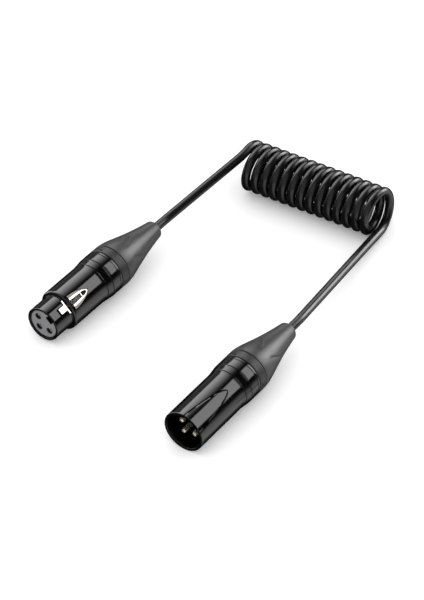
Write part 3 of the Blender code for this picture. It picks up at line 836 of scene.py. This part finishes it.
def socket_contacts():
    front, floor = TUBE
    end = INSERT["socket"][1]
    corners = cup_corners(end)
    corners += [(CUP_R, end - 1.6, 0.1), (TUBE_R, end - 2.0, 0.1), (TUBE_R, front, 0.15)]
    corners += [(TUBE_BORE_R, front, 0.1), (TUBE_BORE_R, floor, 0.2), (0.0, floor, 0.0)]
    for number, place in enumerate(contact_places(), 1):
        tube = revolve(f"socket_contact_tube_{number}", rounded(corners), 40, at=place)
        settle(tube, "socket", "socket_body", f"socket_contact_{number}", "contact_gold")


def tab_trough(z):
    """How deep the finger trough is: two ramps that rise rearwards, with a ridge between them."""
    start = TAB[0] - 0.1
    if z > TROUGH_END or RIDGE[0] <= z < RIDGE[1]:
        return 0.0
    if z < RIDGE[0]:
        return TROUGH_DEPTH - 0.5 * (z - start) / (RIDGE[0] - start)
    return TROUGH_DEPTH - 0.55 * (z - RIDGE[1]) / (TROUGH_END - RIDGE[1])


def tab_row(z):
    """The tab's ring of points at one distance along the axis."""
    t = (z - TAB[0]) / (TAB[1] - TAB[0])
    near, far = (math.tan(math.radians(slope)) for slope in TAB_SLOPES)
    width = TAB_HALF_WIDTH * tab_taper(t)
    crest = min(1.25 - 0.35 * t, 0.55 * width)
    floor = crest * 0.9
    bend = crest + 0.42 * (width - crest)
    top = TAB_TOP - 0.25 * max(t - 0.75, 0.0)
    shoulder = top - (bend - crest) * near
    edge = shoulder - (width - bend) * far
    low = top - tab_trough(z)
    heights = [edge, shoulder, top, low, low, low, top, shoulder, edge]
    across = [-width, -bend, -crest, -floor, 0.0, floor, crest, bend, width]
    under = [(x, -TAB_UNDERSIDE, z) for x in (width, -width)]
    return [(x, -height, z) for x, height in zip(across, heights)] + under


def tab_body():
    """The thumb tab: two nearly flat polished cheeks either side of a stepped finger trough."""
    stations = [z for _, z in tab_outline(0.0, 36)[:-1]]
    for step in (*RIDGE, TROUGH_END):
        stations += [step - 0.01, step + 0.01]
    return skin("latch_lever", [tab_row(z) for z in sorted(stations)])


def latch():
    lever = tab_body()
    half = HOOK_HALF_WIDTH
    cross = CROSS_HALF_WIDTH
    tongue = (-TONGUE_HALF_WIDTH, TONGUE_HALF_WIDTH)
    hook = [(HOOK_FOOT, HOOK[0]), (HOOK_TOP - 0.15, HOOK[0]), (HOOK_TOP, HOOK[0] + 0.15)]
    hook += [(HOOK_TOP, HOOK[1]), (HOOK_FOOT, HOOK[1])]
    arm = (-half + 0.1, half - 0.1)
    bar = (CROSS_BAR[0] + 0.2, CROSS_BAR[1] - 0.25)
    carve(
        lever,
        "UNION",
        profile_block("hook", half, hook),
        block("arm", arm, ARM_HEIGHTS, (HOOK[1] - 0.3, TAB[0] + 0.8)),
        block("bar", (-cross, cross), (HOOK_FOOT, BAR_TOP), bar),
        block("tongue", tongue, TONGUE_HEIGHTS, (TONGUE_START, LATCH_PIVOT[1] + 1.2)),
    )
    carve(lever, "DIFFERENCE", cross_rod("eye", LATCH_PIN_R + PIN_HOLE_GAP, 3.0, LATCH_PIVOT))
    settle(lever, "socket", "latch_body", "latch", "latch_chrome", 20.0)


def latch_spring():
    """A bowed leaf spring under the latch, laid in the frame on no body."""
    steps = 32
    start, end = SPRING
    path = []
    for i in range(steps + 1):
        t = i / steps
        path.append((SPRING_FEET + SPRING_BOW * math.sin(math.pi * t), start + (end - start) * t))
    leaf = strip("latch_leaf_spring", LEAF_HALF_WIDTH, path, LEAF_THICKNESS, 0.3)
    settle(leaf, "socket", None, "latch_spring", "spring_steel")
    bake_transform(leaf)


def latch_pin():
    pin = cross_rod("latch_cross_pin", LATCH_PIN_R, 3.6, LATCH_PIVOT, 40, 0.12)
    settle(pin, "socket", "socket_body", "latch_pin", "spring_steel")


# ---------------------------------------------------------------- plug connector


def facet_row(t):
    """The facet's floor points across the plug, at a share of its length from the mouth."""
    columns = 24
    overshoot = 1.0
    width = FACET_HALF_WIDTH * max(1 - t**1.15, 0.001) ** 0.5
    row = []
    for j in range(columns + 1):
        x = width * math.sin(math.pi * (j / columns - 0.5))
        margin = min(width - abs(x), FACET_LENGTH * (1 - t))
        line = min(max((FACET_LINE_WIDTH - margin) / FACET_LINE_FADE, 0.0), 1.0)
        radius = FACET_R - FACET_LINE_DEPTH * line
        row.append((x, -math.sqrt(radius**2 - x * x), FACET_LENGTH * t if t else -overshoot))
    return row


def facet_cutter():
    """What the plug's bullet-shaped facet removes: a shallow recess with a cut line round it."""
    rows = 40
    lid = OUTSIDE - 0.5
    shape = bmesh.new()
    floor = []
    roof = []
    for i in range(rows + 1):
        spots = facet_row(math.sin(0.5 * math.pi * i / rows))
        floor.append([shape.verts.new(spot) for spot in spots])
        roof.append([shape.verts.new((x, -lid, z)) for x, _, z in spots])
    for grid in (floor, roof):
        for first, second in zip(grid, grid[1:]):
            for a, b, c, d in zip(first, first[1:], second[1:], second):
                shape.faces.new((a, b, c, d))
    for j in (0, -1):
        low = [row[j] for row in floor]
        high = [row[j] for row in roof]
        for a, b, c, d in zip(low, low[1:], high[1:], high):
            shape.faces.new((a, b, c, d))
    for i in (0, -1):
        for a, b, c, d in zip(floor[i], floor[i][1:], roof[i][1:], roof[i]):
            shape.faces.new((a, b, c, d))
    return new_piece("facet", shape)


def plug_shell():
    length = SHELL_LENGTH["plug"]
    corners = shell_rear(length)
    corners += [(SHELL_R, 0.0, 0.45), (REAR_BORE_R, 0.0, 0.35), (REAR_BORE_R, length, 0.3)]
    shell = revolve("plug_shell_casting", rounded(corners), SHELL_SIDES)
    seam_x = (-SEAM_HALF_WIDTH, SEAM_HALF_WIDTH)
    seam = block("seam", seam_x, (8.9, 11.0), (SEAM_START, length - 1.2))
    seam.data.transform(Matrix.Rotation(math.radians(SEAM_ANGLE), 4, "Z"))
    carve(shell, "DIFFERENCE", facet_cutter(), seam)
    settle(shell, "plug", "plug_body", "plug_shell", "shell_black")


def plug_insert():
    start, end = INSERT["plug"]
    radius = INSERT_R["plug"]
    corners = [(0.0, end, 0.0), (radius, end, 0.3), (radius, start, 0.3), (0.0, start, 0.0)]
    insert = revolve("plug_pin_carrier", rounded(corners), 96)
    ends = (end + 1.0, start - 1.0)
    profile = [(0.0, ends[0]), (PIN_SEAT_R, ends[0]), (PIN_SEAT_R, ends[1]), (0.0, ends[1])]
    carve(insert, "DIFFERENCE", *contact_bores(profile))
    settle(insert, "plug", "plug_body", "plug_insert", "insert_black")


def plug_pins():
    start, end = INSERT["plug"]
    corners = cup_corners(end)
    corners += [(CUP_R, start + 1.5, 0.1), (PIN_R, start + 1.0, 0.1)]
    corners += sharp(arc((0.0, PIN_TIP + PIN_R), PIN_R, 0, -90, 8)[:-1])
    corners.append((0.0, PIN_TIP, 0.0))
    for number, place in enumerate(contact_places(), 1):
        pin = revolve(f"plug_contact_pin_{number}", rounded(corners), 40, at=place)
        settle(pin, "plug", "plug_body", f"plug_pin_{number}", "contact_gold")


# ---------------------------------------------------------------- what both connectors share


def ground_spring(kind):
    z = INSERT[kind][1] + GAP
    path = [(2.2, z + 0.2), (5.4, z + 0.2), (7.0, z + 1.6), (7.6, z + 3.4), (7.2, z + 5.0)]
    leaf = strip(f"{kind}_earth_leaf", 1.6, smooth_path(path, 6), 0.3, 0.4)
    settle(leaf, kind, f"{kind}_body", f"{kind}_ground_spring", "spring_steel")


def smooth_path(points, steps):
    """A Catmull-Rom curve through (height, distance along the axis) points."""
    spots = [Vector(point) for point in points]
    spots = [2 * spots[0] - spots[1], *spots, 2 * spots[-1] - spots[-2]]
    found = []
    for a, b, c, d in zip(spots, spots[1:], spots[2:], spots[3:]):
        for i in range(steps):
            t = i / steps
            spot = 0.5 * (2 * b + (c - a) * t + (2 * a - 5 * b + 4 * c - d) * t**2)
            spot += 0.5 * (3 * b - a - 3 * c + d) * t**3
            found.append((spot.x, spot.y))
    found.append(tuple(spots[-2]))
    return found


def clamp(kind):
    """The collet that grips the jacket: a flange, a split rear cone and a funnel inside."""
    length = SHELL_LENGTH[kind]
    front = length + CLAMP[0]
    flange = length + CLAMP_FLANGE
    rear = length + CLAMP[1]
    corners = [(CLAMP_TIP_R, rear, 0.3), (CLAMP_R, rear - 4.5, 0.6), (CLAMP_R, flange + 0.2, 0.1)]
    corners += [(CLAMP_FLANGE_R, flange, 0.3), (CLAMP_FLANGE_R, front, 0.3)]
    corners += [(CLAMP_MOUTH_R, front, 0.15), (CLAMP_MOUTH_R, front + 1.0, 0.0)]
    corners += [(CABLE_BORE_R, front + 5.5, 0.3), (CABLE_BORE_R, rear, 0.15)]
    collet = revolve(f"{kind}_clamp_collet", rounded(corners), 72)
    slit = (-SLIT_HALF_WIDTH, SLIT_HALF_WIDTH)
    through = (-9.0, 9.0)
    slit_z = (rear - SLIT_LENGTH, rear + 1.0)
    slits = (block("slit_a", slit, through, slit_z), block("slit_b", through, slit, slit_z))
    carve(collet, "DIFFERENCE", *slits)
    settle(collet, kind, f"{kind}_clamp_body", f"{kind}_clamp", "clamp_plastic")


def thread_relief(front, rear):
    """A helical thread cut into the back nut's sleeve, fading out at both ends."""

    def relief(angle, r, z):
        if r < 7.2 or z > rear - 0.2 or z < front + 0.2:
            return 0.0
        fade = min(1.0, (z - front - 0.2) / 0.5, (rear - 0.2 - z) / 0.5)
        phase = (z / THREAD_LEAD - angle / (2 * math.pi)) % 1.0
        return -THREAD_DEPTH * fade * (1 - abs(2 * phase - 1)) ** 0.9

    return relief


def back_nut(kind):
    length = SHELL_LENGTH[kind]
    front = length + SLEEVE_FRONT
    collar = length + GAP
    collar_rear = collar + COLLAR_LENGTH
    rear = collar_rear + SPIGOT_LENGTH
    sleeve_step = (collar - front - 0.1) / SLEEVE_RINGS
    corners = [(SPIGOT_R, rear, 0.4), (SPIGOT_R, collar_rear, 0.1)]
    corners += [(COLLAR_R, collar_rear, 0.35), (COLLAR_R, collar, 0.35), (SLEEVE_R, collar, 0.1)]
    corners += [(SLEEVE_R, collar - 0.1 - i * sleeve_step, 0.0) for i in range(SLEEVE_RINGS)]
    corners += [(SLEEVE_R, front, 0.25), (SLEEVE_BORE_R, front, 0.3)]
    corners += [(SLEEVE_BORE_R, length + 2.9, 0.5), (4.3, rear, 0.2)]
    nut = revolve(f"{kind}_screw_nut", rounded(corners), 96, thread_relief(front, collar))
    notches = []
    for angle in NUT_NOTCHES:
        notch = block("notch", (-0.9, 0.9), (9.65, OUTSIDE), (collar + 1.0, collar + 1.5))
        notch.data.transform(Matrix.Rotation(math.radians(angle), 4, "Z"))
        notches.append(notch)
    carve(nut, "DIFFERENCE", *notches)
    settle(nut, kind, f"{kind}_nut_body", f"{kind}_back_nut", "nut_black")


def within(value):
    """The value, held between 0 and 1."""
    return min(max(value, 0.0), 1.0)


def panel_relief(front):
    """Two pairs of slanting creases behind the boot's shoulder, on the key side and opposite."""
    first, last = CREASE_ANGLES

    def relief(angle, r, z):
        if r < 3.9:
            return 0.0
        across = abs((math.degrees(angle) + 90.0 + 90.0) % 180.0 - 90.0)
        crease = front + CREASE_START + CREASE_SLANT * across
        side = within((across - first) / 12.0) * within((last - across) / 14.0)
        sinking = within((z - crease + 5.0) / 5.0)
        rising = within((z - crease) / 0.6)
        return -CREASE_DEPTH * side * (sinking**2 - rising * rising * (3 - 2 * rising))

    return relief


def boot(kind):
    front = SHELL_LENGTH[kind] + 2 * GAP + COLLAR_LENGTH
    tip = front + BOOT_LENGTH - GAP
    shoulder = tip - BOOT_TIP_ROUND
    seat = front + SPIGOT_LENGTH
    pulls = [(r, front + distance) for r, distance in BOOT_PULLS]
    tip_round = arc((BOOT_END_R - BOOT_TIP_ROUND, shoulder), BOOT_TIP_ROUND, 90, 0, 8)
    side = bezier(((BOOT_END_R, shoulder), *pulls, (COLLAR_R, front + 0.35)), 90)
    corners = sharp(tip_round[:-1] + side)
    corners += [(COLLAR_R - 0.3, front, 0.15), (SPIGOT_R + GAP, front, 0.2)]
    corners += [(SPIGOT_R + GAP, seat, 0.5), (CABLE_BORE_R, seat + 11.0, 1.0)]
    corners.append((CABLE_BORE_R, tip, 0.2))
    outer = revolve(f"{kind}_rubber_boot", rounded(corners), 144, panel_relief(front))
    settle(outer, kind, f"{kind}_nut_body", f"{kind}_boot", "boot_rubber")


# ---------------------------------------------------------------- cable


def hermite(start, end, slope, steps):
    """Points along a curve that leaves its start and meets its end with the same slope."""
    points = []
    for i in range(steps + 1):
        t = i / steps
        a = 2 * t**3 - 3 * t**2 + 1
        b = t**3 - 2 * t**2 + t
        c = 3 * t**2 - 2 * t**3
        d = t**3 - t**2
        points.append(start * a + slope * b + end * c + slope * d)
    return points


def sweep(name, path, radius, around):
    """A round tube along a path in metres, with the unrolled millimetres stored for its material."""
    way = (path[1] - path[0]).normalized()
    side = way.cross(Vector((0.0, 0.0, 1.0))).normalized()
    rows = []
    unrolled = []
    run = 0.0
    count = len(path)
    for i, spot in enumerate(path):
        way = (path[min(i + 1, count - 1)] - path[max(i - 1, 0)]).normalized()
        side = (side - way * side.dot(way)).normalized()
        up = way.cross(side)
        if i:
            run += (spot - path[i - 1]).length
        row = []
        for j in range(around):
            angle = 2 * math.pi * j / around
            row.append(spot + (side * math.cos(angle) + up * math.sin(angle)) * radius)
            unrolled += [radius * math.cos(angle) / MM, radius * math.sin(angle) / MM, run / MM]
        rows.append(row)
    tube = skin(name, rows)
    store_upright(tube.data, unrolled)
    shade(tube.data, 50.0)
    return tube


def wires(kind):
    cup_rear = INSERT[kind][1] + CUP_PAST_INSERT
    jacket = SHELL_LENGTH[kind] + JACKET_FRONT - GAP
    slots = ("wire_screen", "wire_red", "wire_white")
    for number, (place, slot) in enumerate(zip(contact_places(), slots), 1):
        start = Vector((*place, cup_rear))
        end = Vector((place[0] * 0.27, place[1] * 0.27, jacket))
        slope = Vector((0.0, 0.0, end.z - start.z))
        inside = start - Vector((0.0, 0.0, CUP_DEPTH - GAP))
        path = [PLACE[kind] @ spot for spot in (inside, *hermite(start, end, slope, 20))]
        wire = sweep(f"{kind}_core_{number}", path, WIRE_R * MM, 16)
        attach(wire, f"{kind}_body")
        dress(wire, slot, f"{kind}_wire_{number}")


def coil_middle():
    low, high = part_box("coil")
    return (low + high) / 2


def coil_point(turn):
    angle = 2 * math.pi * turn
    x = COIL_PITCH * (turn - sum(COIL_ENDS) / 2)
    return coil_middle() + Vector((x, COIL_R * math.sin(angle), COIL_R * math.cos(angle))) * MM


def coil_heading(turn):
    angle = 2 * math.pi * turn
    rise = COIL_PITCH / (2 * math.pi)
    return Vector((rise, COIL_R * math.cos(angle), -COIL_R * math.sin(angle))).normalized()


def straight(start, end, steps):
    """Points along a straight run, without its end."""
    return [start + (end - start) * (i / steps) for i in range(steps)]


def rounded_corner(before, corner, after, reach):
    start = corner + (before - corner).normalized() * reach * MM
    end = corner + (after - corner).normalized() * reach * MM
    return quadratic(start, corner, end, 12)


def coil():
    first, last = COIL_ENDS
    count = round((last - first) * COIL_STEPS)
    path = [coil_point(first + (last - first) * i / count) for i in range(count + 1)]
    piece = sweep("coiled_jacket", path, CABLE_R * MM, CABLE_SIDES)
    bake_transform(piece)
    weights = []
    for i in range(count + 1):
        weights += [stretch_share(i / count)] * CABLE_SIDES
    dress(piece, "cable_jacket", "coil")


def stretch_share(t):
    """A share from 0 to 1 for each point along the coil: even, but easing at both ends."""
    ease = COIL_EASE / (COIL_ENDS[1] - COIL_ENDS[0])
    pace = 1.0 / (1.0 - ease)
    if t < ease:
        return pace * t * t / (2 * ease)
    if t > 1.0 - ease:
        return 1.0 - pace * (1.0 - t) ** 2 / (2 * ease)
    return pace * (t - ease / 2)


def tail(kind, turn):
    """The cable from inside a connector, past its hinge, to an end of the coil."""
    place = PLACE[kind]
    axis = (place.to_3x3() @ Vector((0.0, 0.0, 1.0))).normalized()
    mouth = place.translation
    length = SHELL_LENGTH[kind]
    start = mouth + axis * (length + JACKET_FRONT) * MM
    bend = mouth + axis * (length + GAP + COLLAR_LENGTH + BOOT_LENGTH + EXIT_BEND) * MM
    outward = coil_heading(turn) * (-1.0 if turn == COIL_ENDS[0] else 1.0)
    end = coil_point(turn)
    corner = end + outward * (COIL_LEAD + TAIL_CORNER) * MM
    first = rounded_corner(start, bend, corner, EXIT_REACH)
    second = rounded_corner(bend, corner, end, TAIL_CORNER)
    path = straight(start, first[0], 60) + first
    path += straight(first[-1], second[0], 90)[1:] + second + [end]
    piece = sweep(f"{kind}_cable", path, CABLE_R * MM, CABLE_SIDES)
    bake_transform(piece)
    dress(piece, "cable_jacket", f"{kind}_jacket_end", f"{kind}_tail")


# ---------------------------------------------------------------- studio


def floor():
    shape = bmesh.new()
    bmesh.ops.create_grid(shape, x_segments=1, y_segments=1, size=6.0)
    plane = new_piece("studio_floor", shape)
    material = bpy.data.materials.new("pale_floor")
    material.use_nodes = True
    inputs = material.node_tree.nodes["Principled BSDF"].inputs
    inputs["Base Color"].default_value = (0.98, 0.98, 0.98, 1.0)
    inputs["Roughness"].default_value = 0.9
    inputs["Specular IOR Level"].default_value = 0.0
    inputs["Emission Color"].default_value = (1.0, 1.0, 1.0, 1.0)
    inputs["Emission Strength"].default_value = 0.12
    plane.data.materials.append(material)
    plane.visible_glossy = False


# Long soft boxes that only reflections see: the degrees they span round the connectors' axis,
# from the camera's side; how far they fade before and after; the span of their direction's
# share along the axis; and their strength.
REFLECTED_BOXES = (
    (-90.0, -82.0, 4.0, 56.0, -0.2, 0.8, 3.7),
    (-18.0, 33.0, 3.0, 3.0, 0.49, 0.8, 3.3),
    (-10.0, 48.0, 16.0, 16.0, 0.8, 1.1, 8.5),
    (78.0, 98.0, 26.0, 36.0, -1.0, 1.1, 1.0),
    (-126.0, -100.0, 14.0, 14.0, -1.0, 1.1, 0.2),
    (-135.0, -90.0, 12.0, 12.0, -0.3, 0.38, 2.2),
    (-70.0, 60.0, 30.0, 30.0, -1.1, -0.35, 0.5),
)
BOX_END_FADES = (0.01, 0.04)
ROOM_LIGHT = 1.2
ROOM_REFLECTION = 0.02
VIEW_FROM = (0.56327, -0.93352, 0.9326)
VIEW_ELEVATION = 40.58
VIEW_HEADING = -31.04
LENS = 201.4


def reflected_light(tree):
    """The strength that a reflection sees in each direction."""
    along = sum((PLACE[kind].to_3x3().col[2].normalized() for kind in PLACE), Vector()).normalized()
    toward = camera_way() * -1.0
    toward = (toward - along * toward.dot(along)).normalized()
    around = along.cross(toward)
    look = tree.add("ShaderNodeTexCoord").outputs["Generated"]
    run = tree.dot(look, along)
    turn = tree.maths("ARCTAN2", tree.dot(look, around), tree.dot(look, toward))
    angle = tree.maths("MULTIPLY", turn, 180.0 / math.pi)
    near, far = BOX_END_FADES
    total = ROOM_REFLECTION
    for low, high, before, after, start, end, strength in REFLECTED_BOXES:
        rise = tree.step(angle, low - before, low)
        fall = tree.step(angle, high, high + after)
        across = tree.maths("MULTIPLY", rise, tree.maths("SUBTRACT", 1.0, fall))
        entry = tree.step(run, start - near, start + near)
        leave = tree.step(run, end - far, end + far)
        box = tree.maths("MULTIPLY", across, tree.maths("SUBTRACT", entry, leave))
        total = tree.maths("MULTIPLY_ADD", box, strength, total)
    return total


def world():
    """An even white room, and soft boxes that only glossy reflections see."""
    studio = bpy.data.worlds.new("studio")
    studio.use_nodes = True
    studio.cycles.sampling_method = "NONE"
    bpy.context.scene.world = studio
    tree = Tree(studio.node_tree)
    mix = tree.add("ShaderNodeMix")
    tree.feed(mix.inputs["Factor"], tree.add("ShaderNodeLightPath").outputs["Is Glossy Ray"])
    tree.feed(mix.inputs["A"], ROOM_LIGHT)
    tree.feed(mix.inputs["B"], reflected_light(tree))
    background = tree.nodes["Background"]
    tree.feed(background.inputs["Color"], (1.0, 1.0, 1.0, 1.0))
    tree.feed(background.inputs["Strength"], mix.outputs["Result"])


def camera_way():
    """The direction in which the camera looks."""
    elevation = math.radians(VIEW_ELEVATION)
    heading = math.radians(VIEW_HEADING)
    level = math.cos(elevation)
    return Vector((math.sin(heading) * level, math.cos(heading) * level, -math.sin(elevation)))


def camera():
    """A long lens from the right and above."""
    data = bpy.data.cameras.new("camera")
    data.sensor_width = 36.0
    data.lens = LENS
    data.clip_end = 20.0
    view = bpy.data.objects.new("camera", data)
    bpy.context.scene.collection.objects.link(view)
    view.location = VIEW_FROM
    view.rotation_euler = camera_way().to_track_quat("-Z", "Y").to_euler()
    bpy.context.scene.camera = view


socket_shell()
socket_insert()
socket_contacts()
latch()
latch_spring()
latch_pin()
plug_shell()
plug_insert()
plug_pins()
for connector in ("socket", "plug"):
    ground_spring(connector)
    wires(connector)
    clamp(connector)
    back_nut(connector)
    boot(connector)
tail("socket", COIL_ENDS[0])
tail("plug", COIL_ENDS[1])
coil()
floor()
world()
camera()
bpy.context.scene.view_settings.view_transform = "Standard"
